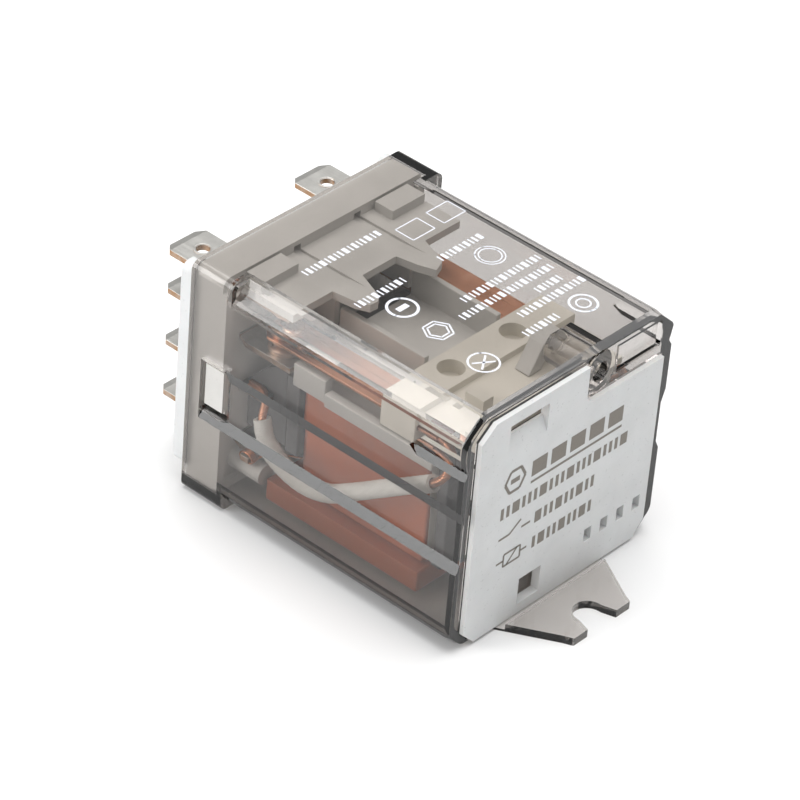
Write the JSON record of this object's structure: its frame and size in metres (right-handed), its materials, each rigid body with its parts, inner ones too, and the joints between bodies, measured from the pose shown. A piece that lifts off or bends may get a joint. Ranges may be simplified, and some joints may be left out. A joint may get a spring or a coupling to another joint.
{
  "type": "plug-in relay",
  "caption": "Power relay in a smoked clear cover with a slotted fixing ear, label plate and rear push-on blade terminals; a hinged armature swings the contact carrier.",
  "frame": {"origin": "bottom centre: X = 0 on the mid plane between the poles, Y = 0 at the front rim of the cover, Z = 0 on the mounting side", "axes": "+X to the right seen from the label, +Y from the label toward the blade terminals, +Z away from the mounting plate"},
  "size_m": [0.0376, 0.0627, 0.0341],
  "materials": {
    "smoked_clear": "glossy smoked polycarbonate",
    "white_moulding": "fine matt moulding",
    "grey_moulding": "matt moulding",
    "beige_moulding": "matt moulding",
    "orange_moulding": "matt moulding",
    "orange_tape": "smooth film tape",
    "tinned_brass": "satin tin plating",
    "copper": "bare copper alloy",
    "contact_silver": "silver alloy",
    "steel": "zinc plated",
    "spring_steel": "bright rolled",
    "enamelled_wire": "enamelled",
    "charcoal_moulding": "matt moulding",
    "grey_silicone": "braided sleeve"
  },
  "bodies": {
    "housing": {"cover": "smoked_clear", "label_plate": "white_moulding", "base": "grey_moulding", "back_plate": "white_moulding", "yoke": "steel", "core": "steel", "armature_spring": "spring_steel", "shading_ring": "copper", "bobbin": "beige_moulding", "coil_foot": "orange_moulding", "winding": "enamelled_wire", "coil_tape": "orange_tape", "insulating_channel": "grey_moulding", "rear_block": "charcoal_moulding", "terminal_no_left": "tinned_brass", "terminal_nc_left": "tinned_brass", "terminal_common_left": "tinned_brass", "terminal_coil_left": "tinned_brass", "contact_nc_left": "contact_silver", "contact_no_left": "contact_silver", "lead_wire_left": "copper", "lead_sheath_left": "grey_silicone", "coil_lead_left": "enamelled_wire", "terminal_no_right": "tinned_brass", "terminal_nc_right": "tinned_brass", "terminal_common_right": "tinned_brass", "terminal_coil_right": "tinned_brass", "contact_nc_right": "contact_silver", "contact_no_right": "contact_silver", "lead_wire_right": "copper", "lead_sheath_right": "grey_silicone", "coil_lead_right": "enamelled_wire"},
    "armature_and_contacts": {"armature": "steel", "carrier": "beige_moulding", "position_flag": "grey_moulding", "moving_blade_left": "copper", "moving_contact_left": "contact_silver", "moving_blade_right": "copper", "moving_contact_right": "contact_silver"}
  },
  "joints": [
    {"name": "armature_pivot", "type": "hinge", "parent": "housing", "child": "armature_and_contacts", "pos_m": [0, 0.009, 0.02315], "axis": [1, 0, 0], "range_deg": [0, 2.9], "stiffness_Nm_per_rad": 0.05, "springref_deg": -3.44, "deforming": ["armature_spring", "lead_wire_left", "lead_sheath_left", "lead_wire_right", "lead_sheath_right"]}
  ]
}
